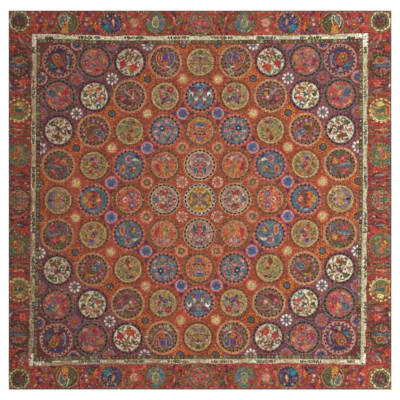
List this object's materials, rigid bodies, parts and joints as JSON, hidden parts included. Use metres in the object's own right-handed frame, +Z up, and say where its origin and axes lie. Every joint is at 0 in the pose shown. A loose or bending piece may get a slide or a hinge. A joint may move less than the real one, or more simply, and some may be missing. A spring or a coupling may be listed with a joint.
{
  "type": "termeh tablecloth",
  "caption": "Square patterned shawl-cloth tablecloth lying flat: a roundel field framed by cream guard strips and red border strips, sewn edge to edge.",
  "frame": {"origin": "under the middle of the cloth, on the surface that it lies on", "axes": "+X to the right across the cloth, +Y towards its top edge, +Z up out of its patterned face"},
  "size_m": [1, 0.99, 0.0015],
  "materials": {
    "field_cloth": "twill-woven wool in many yarn colours, soft low sheen",
    "guard_cloth": "twill-woven cream wool with small leaf marks, soft low sheen",
    "border_cloth": "twill-woven red wool with roundels and blossoms, soft low sheen"
  },
  "bodies": {
    "root": {"field_panel": "field_cloth", "guard_left": "guard_cloth", "guard_right": "guard_cloth", "guard_top": "guard_cloth", "guard_bottom": "guard_cloth", "border_left": "border_cloth", "border_right": "border_cloth", "border_top": "border_cloth", "border_bottom": "border_cloth"}
  },
  "joints": []
}
